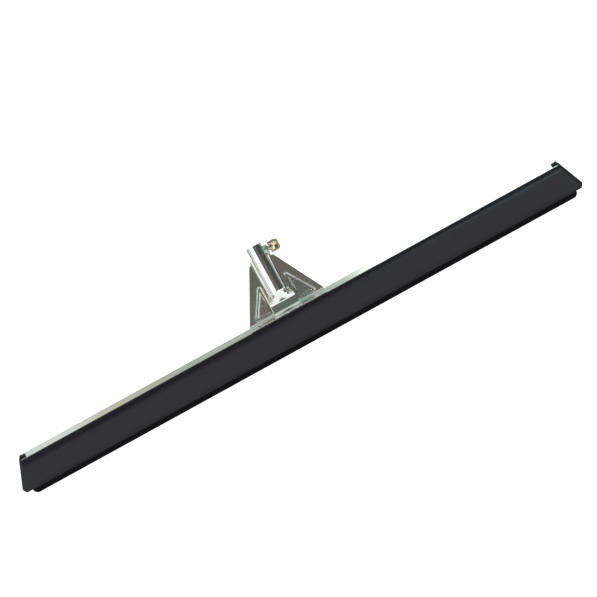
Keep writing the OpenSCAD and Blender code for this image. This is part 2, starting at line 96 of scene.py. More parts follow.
# One pitch of the thread: share of the pitch, and share of the ridge's height
THREAD_RIDGE = ((0.0, 0.0), (0.14, 0.0), (0.46, 1.0), (0.60, 1.0), (0.92, 0.0))

# Radii of soft edges: on the screw and the flange, on cut sheet, on bends, on plastic and on pressed beads
FINE_EDGE = 0.0002
CUT_EDGE = 0.0003
BEND_EDGE = 0.0004
PLASTIC_EDGE = 0.0008
BEAD_EDGE = 0.0012

# Heights above the flange between which edges become as soft as the beads'
BEAD_START = 0.0015
BEAD_FULL = 0.003

# How far below its top the flange's cut edge starts, and the heights over which painted shade fades in
# there and tarnish fades in at the upper edge of the saddle
FLANGE_RIM = 0.0001
FLANGE_FADE = 0.0002
SOCKET_FADE = 0.002

# Plating: colours of rubbed edges and of painted shade and tarnish, and the roughness that these and
# scratches add
RUBBED = (0.74, 0.75, 0.73, 1.0)
# The dark colour is painted shade on the rail's bends and round the flange's edge, and tarnish at the
# saddle's top edge
SHADE_AND_TARNISH = (0.09, 0.09, 0.085, 1.0)
SHADE_AND_TARNISH_ROUGH = 0.25
SCRATCH_ROUGH = 0.10

# Drawn lines: the range of their height that the gloss follows, and their depth
LINE_RANGE = (0.3, 0.7)
LINE_DEPTH = 0.0002

# Factor and lift by which scratches and bloom are paler than the plastic or rubber under them
SCRATCH_PALE = (1.5, 0.002)
BLOOM_PALE = (1.0, 0.002)

# Depth of the grain on moulded pieces, and how strongly plastic and rubber reflect
GRAIN_DEPTH = 0.0003
PLASTIC_SHINE = 0.23
RUBBER_SHINE = 0.08


class SqueegeeFinish(bpy.types.PropertyGroup):
    """Colours of the squeegee's surfaces"""

    zinc: FloatVectorProperty(
        name="Zinc", description="Colour of the bright zinc plating",
        subtype="COLOR", size=4, min=0.0, max=1.0, default=(0.66, 0.68, 0.65, 1.0))
    zinc_warm: FloatVectorProperty(
        name="Zinc, warm film", description="Yellowish patches of the plating's film",
        subtype="COLOR", size=4, min=0.0, max=1.0, default=(0.66, 0.61, 0.52, 1.0))
    zinc_cool: FloatVectorProperty(
        name="Zinc, cool film", description="Greenish patches of the plating's film",
        subtype="COLOR", size=4, min=0.0, max=1.0, default=(0.55, 0.64, 0.61, 1.0))
    nut: FloatVectorProperty(
        name="Nut", description="Colour of the dull olive plating on the nut",
        subtype="COLOR", size=4, min=0.0, max=1.0, default=(0.35, 0.38, 0.28, 1.0))
    gold: FloatVectorProperty(
        name="Yellow zinc", description="Colour of the yellow plated thumb head",
        subtype="COLOR", size=4, min=0.0, max=1.0, default=(0.56, 0.51, 0.34, 1.0))
    gold_olive: FloatVectorProperty(
        name="Yellow zinc, olive film", description="Olive patches on the thumb head",
        subtype="COLOR", size=4, min=0.0, max=1.0, default=(0.36, 0.35, 0.23, 1.0))
    gold_rose: FloatVectorProperty(
        name="Yellow zinc, rose film", description="Reddish patches on the thumb head",
        subtype="COLOR", size=4, min=0.0, max=1.0, default=(0.50, 0.43, 0.33, 1.0))
    profile: FloatVectorProperty(
        name="Black profile", description="Colour of the extruded black profile",
        subtype="COLOR", size=4, min=0.0, max=1.0, default=(0.0080, 0.0078, 0.0115, 1.0))
    caps: FloatVectorProperty(
        name="End caps", description="Colour of the moulded end caps",
        subtype="COLOR", size=4, min=0.0, max=1.0, default=(0.0076, 0.0086, 0.0092, 1.0))
    rubber: FloatVectorProperty(
        name="Rubber", description="Colour of the two blades",
        subtype="COLOR", size=4, min=0.0, max=1.0, default=(0.0035, 0.0034, 0.004, 1.0))


class SqueegeeThread(bpy.types.PropertyGroup):
    """Thread of the clamp screw"""

    pitch: FloatProperty(
        name="Pitch", description="Distance between two turns of the thread",
        subtype="DISTANCE", default=0.00125, min=0.0005, max=0.002)
    depth: FloatProperty(
        name="Depth", description="Height of the thread's ridge above its root",
        subtype="DISTANCE", default=0.00068, min=0.0002, max=0.001)
    bevel: FloatProperty(
        name="Tip bevel", description="Length of the bevel at the screw's tip",
        subtype="DISTANCE", default=0.001, min=0.0, max=0.002)
    steps: IntProperty(
        name="Steps", description="Points in one turn of the thread",
        default=48, min=16, max=96)


class SqueegeeHead(bpy.types.PropertyGroup):
    """Cast thumb head of the clamp screw"""

    width: FloatProperty(
        name="Width", description="Width of the thumb piece",
        subtype="DISTANCE", default=0.018, min=0.014, max=0.018)
    thickness: FloatProperty(
        name="Thickness", description="Thickness of the thumb piece",
        subtype="DISTANCE", default=0.0036, min=0.002, max=0.005)
    inner_corner: FloatProperty(
        name="Inner corners", description="Radius of the thumb piece's corners at the nut",
        subtype="DISTANCE", default=0.0012, min=0.0005, max=0.003)
    outer_corner: FloatProperty(
        name="Outer corners", description="Radius of the thumb piece's corners at its end",
        subtype="DISTANCE", default=0.005, min=0.001, max=0.007)
    side_round: FloatProperty(
        name="Side rounding", description="Width of the rounding along the thumb piece's sides",
        subtype="DISTANCE", default=0.0009, min=0.0003, max=0.002)
    end_round: FloatProperty(
        name="End rounding", description="Width over which the thumb piece thins out to its end",
        subtype="DISTANCE", default=0.0035, min=0.0005, max=0.006)
    collar: FloatProperty(
        name="Collar", description="Radius of the round collar at the shank",
        subtype="DISTANCE", default=0.0052, min=0.0045, max=0.006)
    collar_width: FloatProperty(
        name="Collar width", description="Half width of the collar's foot on the thumb piece",
        subtype="DISTANCE", default=0.006, min=0.005, max=0.008)
    collar_length: FloatProperty(
        name="Collar length", description="Length over which the collar runs out into the thumb piece",
        subtype="DISTANCE", default=0.0058, min=0.002, max=0.008)
    hollow: FloatProperty(
        name="Hollow", description="Depth of the hollow in each face",
        subtype="DISTANCE", default=0.0006, min=0.0, max=0.001)
    hollow_radius: FloatProperty(
        name="Hollow radius", description="Radius of the hollow in each face",
        subtype="DISTANCE", default=0.0058, min=0.003, max=0.007)
    hollow_place: FloatProperty(
        name="Hollow place", description="From the end of the thumb piece to the middle of its hollow",
        subtype="DISTANCE", default=0.0078, min=0.005, max=0.01)
    tilt: FloatProperty(
        name="Tilt", description="Angle by which the thumb piece leans back at rest",
        subtype="ANGLE", default=math.radians(6.0))


class SqueegeeStage(bpy.types.PropertyGroup):
    """Camera and floor of the studio"""

    elevation: FloatProperty(
        name="Elevation", description="Height of the camera above the horizon",
        subtype="ANGLE", default=math.radians(18.0))
    roll: FloatProperty(
        name="Roll", description="Turn of the picture round the line of sight",
        subtype="ANGLE", default=math.radians(28.80))
    distance: FloatProperty(
        name="Distance", description="From the camera to the middle of the picture",
        subtype="DISTANCE", default=2.4, min=0.5)
    lens: FloatProperty(
        name="Lens", description="Focal length of the camera",
        unit="CAMERA", default=100.0, min=20.0)
    aim: FloatVectorProperty(
        name="Aim", description="Point in the middle of the picture",
        subtype="TRANSLATION", size=3, default=(0.0213, 0.0075, 0.0652))
    floor_glow: FloatProperty(
        name="Floor glow", description="Light that the pale floor gives off",
        default=1.0, min=0.0)


# Shader nodes


class Graph:
    """Short ways to add shader nodes to one tree and to join them."""

    def __init__(self, tree):
        self.tree = tree

    def feed(self, socket, value):
        """Joins another node's output to a socket, or sets the socket's own value."""
        if isinstance(value, bpy.types.NodeSocket):
            self.tree.links.new(value, socket)
        else:
            socket.default_value = value

    def node(self, kind, inputs=None, **settings):
        made = self.tree.nodes.new(kind)
        for name, value in settings.items():
            setattr(made, name, value)
        for name, value in (inputs or {}).items():
            self.feed(made.inputs[name], value)
        return made

    def math(self, operation, a, b):
        return self.node("ShaderNodeMath", {0: a, 1: b}, operation=operation).outputs[0]

    def vector(self, operation, a, b):
        return self.node("ShaderNodeVectorMath", {0: a, 1: b}, operation=operation).outputs[0]

    def dot(self, a, b):
        made = self.node("ShaderNodeVectorMath", {0: a, 1: b}, operation="DOT_PRODUCT")
        return made.outputs["Value"]

    def noise(self, place, scale, detail, rough):
        made = self.node("ShaderNodeTexNoise", {
            "Vector": place, "Scale": scale, "Detail": detail, "Roughness": rough})
        return made.outputs["Fac"]

    def ramp(self, value, low, high, to_low=0.0, to_high=1.0):
        """A value that runs smoothly from to_low, where the given value is low, to to_high."""
        made = self.node("ShaderNodeMapRange", {
            "Value": value, "From Min": low, "From Max": high, "To Min": to_low, "To Max": to_high},
            interpolation_type="SMOOTHSTEP")
        return made.outputs["Result"]

    def mix(self, factor, a, b):
        made = self.node("ShaderNodeMix", {0: factor, 6: a, 7: b}, data_type="RGBA")
        return made.outputs[2]


def effect(name, inputs, outputs):
    """A new node group with these sockets: its graph, what it is given and where it puts its results."""
    tree = bpy.data.node_groups.new(name, "ShaderNodeTree")
    for label, kind in inputs:
        tree.interface.new_socket(label, in_out="INPUT", socket_type="NodeSocket" + kind)
    for label, kind in outputs:
        tree.interface.new_socket(label, in_out="OUTPUT", socket_type="NodeSocket" + kind)
    graph = Graph(tree)
    given = graph.node("NodeGroupInput").outputs
    put = graph.node("NodeGroupOutput").inputs
    return graph, given, put


def once(name, build):
    """The node group of that name, built the first time that it is asked for."""
    return bpy.data.node_groups.get(name) or build(name)


def build_film(name):
    """Thin film on a plated metal: two tints in soft patches over the metal's own colour."""
    graph, given, put = effect(
        name,
        [("Place", "Vector"), ("Metal", "Color"), ("Warm", "Color"), ("Cool", "Color"),
         ("Patches", "Float")],
        [("Color", "Color")])
    elsewhere = (3.1, 1.7, 5.3)
    first = graph.noise(given["Place"], given["Patches"], detail=3.0, rough=0.55)
    shifted = graph.vector("ADD", given["Place"], elsewhere)
    second = graph.noise(shifted, given["Patches"], detail=2.0, rough=0.5)
    warm = graph.ramp(first, 0.46, 0.68)
    cool = graph.ramp(second, 0.44, 0.66)
    tinted = graph.mix(warm, given["Metal"], given["Warm"])
    graph.feed(put["Color"], graph.mix(cool, tinted, given["Cool"]))
    return graph.tree


def build_lines(name):
    """Fine lines left along the bar by rolling or extruding, with a few deeper scratches."""
    graph, given, put = effect(
        name, [("Place", "Vector"), ("Density", "Float")], [("Height", "Float"), ("Scratch", "Float")])
    # Lines are this dense along the bar and across it, and scratches run at a slant to them
    line_scale = (4.0, 160.0, 160.0)
    scratch_scale = (9.0, 260.0, 120.0)
    slant_axis = (0.3, 0.2, 1.0)
    slant = 0.5
    along = graph.vector("MULTIPLY", given["Place"], line_scale)
    lines = graph.noise(along, given["Density"], detail=4.0, rough=0.6)
    slanted = graph.node("ShaderNodeVectorRotate", {
        "Vector": given["Place"], "Axis": slant_axis, "Angle": slant})
    across = graph.vector("MULTIPLY", slanted.outputs[0], scratch_scale)
    scratch = graph.ramp(graph.noise(across, given["Density"], detail=2.0, rough=0.5), 0.70, 0.78)
    graph.feed(put["Height"], lines)
    graph.feed(put["Scratch"], scratch)
    return graph.tree


def build_grain(name):
    """Fine grain of a moulded or rubber surface, and soft patches of bloom."""
    graph, given, put = effect(
        name, [("Place", "Vector"), ("Grain", "Float")], [("Height", "Float"), ("Bloom", "Float")])
    patches = 34.0
    fine = graph.noise(given["Place"], given["Grain"], detail=2.0, rough=0.6)
    cloud = graph.noise(given["Place"], patches, detail=4.0, rough=0.62)
    graph.feed(put["Height"], fine)
    graph.feed(put["Bloom"], graph.ramp(cloud, 0.45, 0.75))
    return graph.tree


def build_edges(name):
    """Edges that are slightly rounded and rubbed: a soft normal, and a mask that is 1 on the edge."""
    graph, given, put = effect(
        name, [("Place", "Vector"), ("Radius", "Float")], [("Normal", "Vector"), ("Mask", "Float")])
    rub_marks = 420.0
    soft = graph.node("ShaderNodeBevel", {"Radius": given["Radius"]}, samples=6).outputs["Normal"]
    flat = graph.node("ShaderNodeNewGeometry").outputs["Normal"]
    turned = graph.ramp(graph.dot(soft, flat), 0.995, 0.90)
    broken = graph.ramp(graph.noise(given["Place"], rub_marks, detail=3.0, rough=0.6), 0.38, 0.62)
    graph.feed(put["Normal"], soft)
    graph.feed(put["Mask"], graph.math("MULTIPLY", turned, broken))
    return graph.tree


# Finishes


class Finish(Graph):
    """A new material with one Principled shader, and the place of a surface point to drive its patterns."""

    def __init__(self, name):
        self.material = bpy.data.materials.new(name)
        self.material.use_nodes = True
        super().__init__(self.material.node_tree)
        self.tree.nodes.clear()
        self.shader = self.node("ShaderNodeBsdfPrincipled")
        self.node("ShaderNodeOutputMaterial", {"Surface": self.shader.outputs[0]})
        self.place = self.node("ShaderNodeTexCoord").outputs["Object"]

    def use(self, name, build, inputs):
        """Places an effect in the material and gives back what it puts out."""
        group = once(name, build)
        return self.node("ShaderNodeGroup", {"Place": self.place, **inputs}, node_tree=group).outputs

    def set(self, **sockets):
        for name, value in sockets.items():
            self.feed(self.shader.inputs[name.replace("_", " ")], value)

    def bump(self, height, depth, normal, strength):
        made = self.node("ShaderNodeBump", {
            "Height": height, "Distance": depth, "Strength": strength, "Normal": normal})
        return made.outputs["Normal"]

    def facing(self, way):
        """How far the surface faces a direction: 1 where it faces straight that way."""
        return self.dot(self.node("ShaderNodeNewGeometry").outputs["Normal"], way)

    def reach(self, way):
        """How far a surface point lies in a direction."""
        return self.dot(self.place, way)


def paler(colour, factor, lift):
    """A colour times a factor and a little lighter, for scratches and bloom."""
    return tuple(factor * part + lift for part in colour[:3]) + (1.0,)


def plated(name, tints, patches, gloss, density, edge, shade_and_tarnish=None):
    """Plated metal: a tinted film, drawn lines in the gloss, rubbed edges and perhaps a darker place that a
    given mask marks, painted shade on the rail and the flange and tarnish on the saddle.
    """
    metal, warm, cool = tints
    finish = Finish(name)
    film = finish.use("Film", build_film, {"Metal": metal, "Warm": warm, "Cool": cool, "Patches": patches})
    lines = finish.use("Drawn Lines", build_lines, {"Density": density})
    edges = finish.use("Soft Edges", build_edges, {"Radius": edge(finish) if callable(edge) else edge})
    colour = finish.mix(edges["Mask"], film["Color"], RUBBED)
    rough = finish.ramp(lines["Height"], *LINE_RANGE, *gloss)
    rough = finish.math("ADD", rough, finish.math("MULTIPLY", lines["Scratch"], SCRATCH_ROUGH))
    # A darker place: painted shade on the rail's bends and the flange's edge, tarnish on the saddle's top
    # edge
    if shade_and_tarnish:
        mask = shade_and_tarnish(finish)
        colour = finish.mix(mask, colour, SHADE_AND_TARNISH)
        rough = finish.math("ADD", rough, finish.math("MULTIPLY", mask, SHADE_AND_TARNISH_ROUGH))
    finish.set(Base_Color=colour, Roughness=rough, Metallic=1.0)
    finish.set(Normal=finish.bump(lines["Height"], LINE_DEPTH, edges["Normal"], strength=0.04))
    return finish.material


def painted_bend_shade(finish):
    """A mask of painted shade on what doesn't face straight up, such as the bends along the rail."""
    return finish.ramp(finish.facing(UP), 0.9995, 0.985)


def upper_edge(finish):
    """A mask of the cut edge that ends the saddle at the top of the leaning socket."""
    facing = finish.ramp(finish.facing(SOCKET_AXIS), 0.90, 0.97)
    high = finish.ramp(finish.reach(UP), SOCKET_Z - SOCKET_FADE, SOCKET_Z)
    return finish.math("MULTIPLY", facing, high)


def painted_flange_shade(finish):
    """A mask of painted shade along the cut edge round the plate's flange, where it lies on the rail."""
    start = FLANGE_TOP - FLANGE_RIM
    return finish.ramp(finish.reach(UP), start, start - FLANGE_FADE)


def plate_edges(finish):
    """The radius of the plate's soft edges: small on the flange, larger on the pressed beads above it."""
    start = FLANGE_TOP + BEAD_START
    full = FLANGE_TOP + BEAD_FULL
    return finish.ramp(finish.reach(UP), start, full, FINE_EDGE, BEAD_EDGE)


def extruded(name, colour, gloss):
    """Black extruded plastic: satin gloss with drawn lines along the bar."""
    finish = Finish(name)
    lines = finish.use("Drawn Lines", build_lines, {"Density": 1.0})
    edges = finish.use("Soft Edges", build_edges, {"Radius": PLASTIC_EDGE})
    finish.set(Base_Color=finish.mix(lines["Scratch"], colour, paler(colour, *SCRATCH_PALE)))
    rough = finish.ramp(lines["Height"], *LINE_RANGE, *gloss)
    finish.set(Roughness=rough, Specular_IOR_Level=PLASTIC_SHINE)
    finish.set(Normal=finish.bump(lines["Height"], LINE_DEPTH, edges["Normal"], strength=0.10))
    return finish.material


def moulded(name, colour, grain, gloss, shine, dull_top=0.0):
    """Moulded plastic or rubber: fine grain, faint bloom, and tops that may be duller than the sides."""
    finish = Finish(name)
    skin = finish.use("Grain", build_grain, {"Grain": grain})
    edges = finish.use("Soft Edges", build_edges, {"Radius": PLASTIC_EDGE})
    bloomed = finish.mix(skin["Bloom"], colour, paler(colour, *BLOOM_PALE))
    finish.set(Base_Color=bloomed, Specular_IOR_Level=shine)
    rough = finish.ramp(skin["Bloom"], 0.0, 1.0, *gloss)
    top = finish.ramp(finish.facing(UP), 0.80, 0.95, 0.0, dull_top)
    finish.set(Roughness=finish.math("ADD", rough, top))
    finish.set(Normal=finish.bump(skin["Height"], GRAIN_DEPTH, edges["Normal"], strength=0.15))
    return finish.material


def zinc_tints(metal, look):
    """A metal's own colour with the two tints of a zinc film."""
    return tuple(metal), tuple(look.zinc_warm), tuple(look.zinc_cool)


def dress(material, *nodes):
    """Gives pieces of the frame their finish."""
    for name in nodes:
        mesh = frame["nodes"][name].data
        mesh.materials.clear()
        mesh.materials.append(material)


# Pieces


def add_object(name, mesh):
    """A new object with this mesh, in the scene."""
    made = bpy.data.objects.new(name, mesh)
    bpy.context.scene.collection.objects.link(made)
    return made


def join_facets(work):
    """Joins nearly flat pairs of triangles into faces of four sides, and drops points between two faces."""
    bmesh.ops.join_triangles(
        work, faces=work.faces, angle_face_threshold=FLAT_PAIR, angle_shape_threshold=math.pi)
    between_two = [point for point in work.verts if len(point.link_edges) == 2]
    bmesh.ops.dissolve_verts(work, verts=between_two)


def smooth_sheet(name, node, rounds=0):
    """A copy of a pressed sheet with smooth bends, which rounds of subdivision make rounder."""
    work = bmesh.new()
    work.from_mesh(frame["nodes"][node].data)
    bmesh.ops.remove_doubles(work, verts=work.verts, dist=SAME_POINT)
    if rounds:
        join_facets(work)
    crease = work.edges.layers.float.new("crease_edge")
    for face in work.faces:
        face.smooth = True
    for edge in work.edges:
        edge.smooth = edge.calc_face_angle(math.pi) < SMOOTH_BEND
        edge[crease] = 0.0 if edge.smooth else 1.0
    mesh = bpy.data.meshes.new(name)
    work.to_mesh(mesh)
    work.free()
    sheet = add_object(name, mesh)
    if rounds:
        rounded = sheet.modifiers.new("rounded", "SUBSURF")
        rounded.levels = rounds
        rounded.render_levels = rounds
    evened = sheet.modifiers.new("evened", "WEIGHTED_NORMAL")
    evened.keep_sharp = True
    evened.weight = 60
    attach(sheet, "squeegee")
    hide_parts(node)
    return sheet


def cut_square(mesh, start, end):
    """Cuts off what lies before the start or past the end along X."""
    work = bmesh.new()
    work.from_mesh(mesh)
    for place, way in ((start, -1.0), (end, 1.0)):
        everything = work.verts[:] + work.edges[:] + work.faces[:]
        bmesh.ops.bisect_plane(
            work, geom=everything, dist=NO_LENGTH, clear_outer=True,
            plane_co=(place, 0.0, 0.0), plane_no=(way, 0.0, 0.0))
    work.to_mesh(mesh)
    work.free()


def close_ends(mesh):
    """Merges points that coincide, closes the open ends and turns the faces outwards."""
    work = bmesh.new()
    work.from_mesh(mesh)
    bmesh.ops.remove_doubles(work, verts=work.verts, dist=SAME_POINT)
    bmesh.ops.dissolve_degenerate(work, edges=work.edges, dist=NO_LENGTH)
    bmesh.ops.holes_fill(work, edges=[edge for edge in work.edges if edge.is_boundary], sides=0)
    bmesh.ops.recalc_face_normals(work, faces=work.faces)
    work.to_mesh(mesh)
    work.free()


def rounding(depth, width):
    """Share of the full thickness at a depth inside an edge that is rounded over a width."""
    return math.sqrt(1 - (1 - min(max(depth / width, 0.0), 1.0)) ** 2)


def spread(start, end, count):
    """Evenly spread values from start to end, without the end."""
    return [start + (end - start) * step / count for step in range(count)]


def blended(a, b, reach):
    """The larger of two heights, with a fillet where they are nearly the same."""
    near = max(reach - abs(a - b), 0.0) / reach
    return max(a, b) + near * near * reach / 4


class HeadForm:
    """Width and thickness of the cast head, by the distance along it from the nut's side and across it."""

    def __init__(self, sizes, length):
        self.sizes = sizes
        self.length = length

    def half_width(self, along):
        inner, outer = self.sizes.inner_corner, self.sizes.outer_corner
        into_inner = max(inner - along, 0.0)
        into_outer = max(along - self.length + outer, 0.0)
        cut = inner - math.sqrt(inner ** 2 - into_inner ** 2)
        return self.sizes.width / 2 - cut - outer + math.sqrt(outer ** 2 - into_outer ** 2)

    def half_thickness(self, along, across):
        sizes = self.sizes
        side = rounding(self.half_width(along) - abs(across), sizes.side_round)
        flat = sizes.thickness / 2 * side * rounding(self.length - along, sizes.end_round)
        from_hollow = math.hypot(along - self.length + sizes.hollow_place, across)
        off = min(from_hollow / sizes.hollow_radius, 1.0)
        flat -= sizes.hollow * (1 - off * off) ** 2
        swell = 1 - (along / sizes.collar_length) ** 2 - (across / sizes.collar_width) ** 2
        return blended(max(flat, 0.0), sizes.collar * swell, COLLAR_FILLET)

    def grid(self):
        """Points of one face, in rows. Rows and points lie closer where an edge is rounded."""
        end, side = self.sizes.end_round, self.sizes.side_round
        arc = [1 - math.cos(math.pi / 2 * step / HEAD_ARC) for step in range(HEAD_ARC, -1, -1)]
        rows = spread(0.0, self.length - end, HEAD_ROWS)
        rows += [self.length - end * inset for inset in arc]
        grid = []
        for along in rows:
            width = self.half_width(along)
            rim = [width - side * inset for inset in arc]
            middle = spread(side - width, width - side, HEAD_COLUMNS)[1:]
            across = [-place for place in reversed(rim)] + middle + rim
            grid.append([(along, place, self.half_thickness(along, place)) for place in across])
        return grid


def cast_head(sizes):
    """The thumb head as a casting: soft edges, a hollow in each face, and a collar that it grows out of."""
    low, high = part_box("thumb_head")
    grid = HeadForm(sizes, high.x - low.x).grid()
    work = bmesh.new()
    for side in (-1, 1):
        skin = [[work.verts.new((x, y, side * z)) for x, y, z in row] for row in grid]
        for row, onward in zip(skin, skin[1:]):
            for i in range(len(row) - 1):
                work.faces.new((row[i], onward[i], onward[i + 1], row[i + 1]))
    # A face with three points on the rim is split at its fourth, so that the two skins share no triangle
    for face in work.faces[:]:
        raised = [corner for corner, point in enumerate(face.verts) if abs(point.co.z) > RIM]
        if len(raised) == 1:
            bmesh.utils.face_split(face, face.verts[raised[0]], face.verts[raised[0] - 2])
    mesh = bpy.data.meshes.new("cast_head")
    work.to_mesh(mesh)
    work.free()
    close_ends(mesh)
    mesh.shade_smooth()
    mesh.set_sharp_from_angle(angle=SMOOTH_BEND)
    centre = (low + high) / 2
    lean = Matrix.Rotation(math.pi / 2 - sizes.tilt, 4, "X")
    mesh.transform(Matrix.Translation((low.x, centre.y, centre.z)) @ lean)
    return add_object("cast_head", mesh)


def threaded_shank(thread):
    """The screw's shank with a helical thread, from its bevelled tip up to the cast head."""
    low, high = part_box("clamp_screw")
    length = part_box("thumb_head")[0].x - HEAD_SEAT - low.x
    radius = (high.z - low.z) / 2
    root = radius - thread.depth
    steps = thread.steps
    # The thread starts a turn before the tip and ends past the head, and is then cut square at both
    turns = range(-1, math.ceil(length / thread.pitch) + 2)
    lines = [
        (turn + share, root + height * thread.depth) for turn in turns for share, height in THREAD_RIDGE]
    points = []
    for share, size in lines:
        for step in range(steps):
            angle = 2 * math.pi * step / steps
            along = (share + step / steps) * thread.pitch
            reach = min(size, radius - thread.bevel + along)
            points.append((along, reach * math.cos(angle), reach * math.sin(angle)))
    # Each helical line goes on, after one turn, as the line one pitch further
    per_turn = len(THREAD_RIDGE)
    faces = []
    for line in range(len(lines) - per_turn - 1):
        start = line * steps
        last = start + steps - 1
        onward = start + per_turn * steps
        for here in range(start, last):
            faces.append((here, here + 1, here + 1 + steps, here + steps))
        faces.append((last, onward, onward + steps, last + steps))
    mesh = bpy.data.meshes.new("threaded_shank")
    mesh.from_pydata(points, [], faces)
    cut_square(mesh, 0.0, length)
    close_ends(mesh)
    centre = (low + high) / 2
    mesh.transform(Matrix.Translation((low.x, centre.y, centre.z)))
    return add_object("threaded_shank", mesh)


class SQUEEGEE_OT_plated_parts(bpy.types.Operator):
    """Finish the rail, the pressed bracket, the socket, its nut and the weld spots in zinc"""

    bl_idname = "squeegee.plated_parts"
    bl_label = "Plated parts"

    def execute(self, context):
        look = context.scene.squeegee_finish
        zinc = zinc_tints(look.zinc, look)
        olive = zinc_tints(look.nut, look)
        # The rail's bends get painted shade
        rail = plated(
            "zinc_rail", zinc, patches=9.0, gloss=(0.09, 0.15), density=1.0,
            edge=BEND_EDGE, shade_and_tarnish=painted_bend_shade)
        dress(rail, "rail")
        # The flange's cut edge gets painted shade
        plate = plated(
            "zinc_plate", zinc, patches=26.0, gloss=(0.10, 0.18), density=1.6,
            edge=plate_edges, shade_and_tarnish=painted_flange_shade)
        smooth_sheet("pressed_plate", "bracket_plate").data.materials.append(plate)
        saddle = plated(
            "zinc_saddle", zinc, patches=26.0, gloss=(0.10, 0.18), density=1.6,
            edge=CUT_EDGE, shade_and_tarnish=upper_edge)
        smooth_sheet("pressed_saddle", "socket_saddle", rounds=2).data.materials.append(saddle)
        tube = plated("zinc_tube", zinc, patches=30.0, gloss=(0.08, 0.14), density=1.6, edge=CUT_EDGE)
        dress(tube, "socket_tube")
        nut = plated("zinc_nut", olive, patches=60.0, gloss=(0.18, 0.30), density=2.0, edge=BEND_EDGE)
        dress(nut, "weld_nut")
        weld = plated("weld_metal", zinc, patches=160.0, gloss=(0.20, 0.34), density=3.0, edge=CUT_EDGE)
        dress(weld, "foot_welds")
        return {"FINISHED"}


class SQUEEGEE_OT_black_parts(bpy.types.Operator):
    """Finish the black profile, its end caps and the two rubber blades"""

    bl_idname = "squeegee.black_parts"
    bl_label = "Black parts"

    def execute(self, context):
        look = context.scene.squeegee_finish
        profile = extruded("black_profile", tuple(look.profile), gloss=(0.20, 0.28))
        dress(profile, "blade_holder")
        caps = moulded(
            "black_caps", tuple(look.caps), grain=1800.0, gloss=(0.24, 0.34),
            shine=PLASTIC_SHINE, dull_top=0.6)
        dress(caps, "end_cap_left", "end_cap_right")
        rubber = moulded(
            "blade_rubber", tuple(look.rubber), grain=1400.0, gloss=(0.62, 0.78), shine=RUBBER_SHINE)
        dress(rubber, "front_blade", "rear_blade")
        return {"FINISHED"}


class SQUEEGEE_OT_clamp_screw(bpy.types.Operator):
    """Cast the golden thumb head and cut the thread of the clamp screw"""

    bl_idname = "squeegee.clamp_screw"
    bl_label = "Clamp screw"

    def execute(self, context):
        look = context.scene.squeegee_finish
        gold = tuple(look.gold), tuple(look.gold_olive), tuple(look.gold_rose)
        zinc = zinc_tints(look.zinc, look)
        head = cast_head(context.scene.squeegee_head)
        head.data.materials.append(plated(
            "yellow_zinc", gold, patches=170.0, gloss=(0.10, 0.18), density=3.0, edge=FINE_EDGE))
        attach(head, "screw_head")
        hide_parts("thumb_head")
        shank = threaded_shank(context.scene.squeegee_thread)
        shank.data.materials.append(plated(
            "zinc_screw", zinc, patches=120.0, gloss=(0.18, 0.30), density=3.0, edge=FINE_EDGE))
        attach(shank, "screw_shank")
        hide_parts("clamp_screw")
        return {"FINISHED"}


# Stage


# The floor: half its side, its two pale tones, and the size of their clouds
FLOOR_HALF = 16.0
FLOOR_TONES = ((0.46, 0.46, 0.46, 1.0), (0.5, 0.5, 0.5, 1.0))
FLOOR_CLOUDS = 0.7

# Seen in reflections, the floor is a painted pool of light that dims from the first of these distances to
# the second. It has a painted shadow in a strip under the bar too, which clears between these half widths,
# and over this length at the bar's ends.
FAR_START = 1.0
FAR_DIM = 1.15
STRIP_DIM = 0.010
STRIP_CLEAR = 0.034
STRIP_END = 0.01

# Painted light of the floor in full and where it is dim, and its darker colour far away, all seen only in
# reflections
FULL_LIGHT = (1.0, 1.0, 1.0, 1.0)
DIM_LIGHT = (0.2, 0.19, 0.18, 1.0)
FAR_GROUND = (0.05, 0.05, 0.05, 1.0)

# The room: its pale walls and brighter ceiling, and the sines of the elevations between which they meet
WALLS = (0.58, 0.60, 0.56, 1.0)
CEILING = (0.85, 0.86, 0.84, 1.0)
WALL_TOP = 0.45
CEILING_START = 0.75


class Area(NamedTuple):
    """A round area of the room: the way to its middle, its reach in full and at all, and its light"""

    azimuth: float
    elevation: float
    inner: float
    outer: float
    light: tuple


# Ways and reaches are angles in degrees, and azimuths run from the camera's side to the right
AREAS = (
    # The dim side behind the camera, and to its right
    Area(12.0, 12.0, 33.0, 39.0, (0.20, 0.175, 0.15, 1.0)),
    Area(65.0, 15.0, 28.0, 34.0, (0.09, 0.10, 0.095, 1.0)),
    # A low window beside the camera, and a cooler place above it
    Area(14.0, 4.0, 8.0, 11.0, (4.0, 4.6, 4.6, 1.0)),
    Area(0.0, 40.0, 8.0, 14.0, (0.16, 0.20, 0.19, 1.0)),
    # Panels to the left, and behind the squeegee to the left and to the right
    Area(-44.0, 20.0, 26.0, 29.0, (1.9, 1.9, 1.9, 1.0)),
    Area(-105.0, 5.0, 22.0, 30.0, (1.0, 1.04, 1.04, 1.0)),
    Area(-150.0, 18.0, 18.0, 23.0, (0.95, 0.97, 0.96, 1.0)),
    Area(157.0, 18.0, 18.9, 19.9, (2.4, 2.45, 2.45, 1.0)),
)

# The camera's sensor in millimetres, and how far it sees
SENSOR_WIDTH = 36.0
SIGHT_END = 100.0


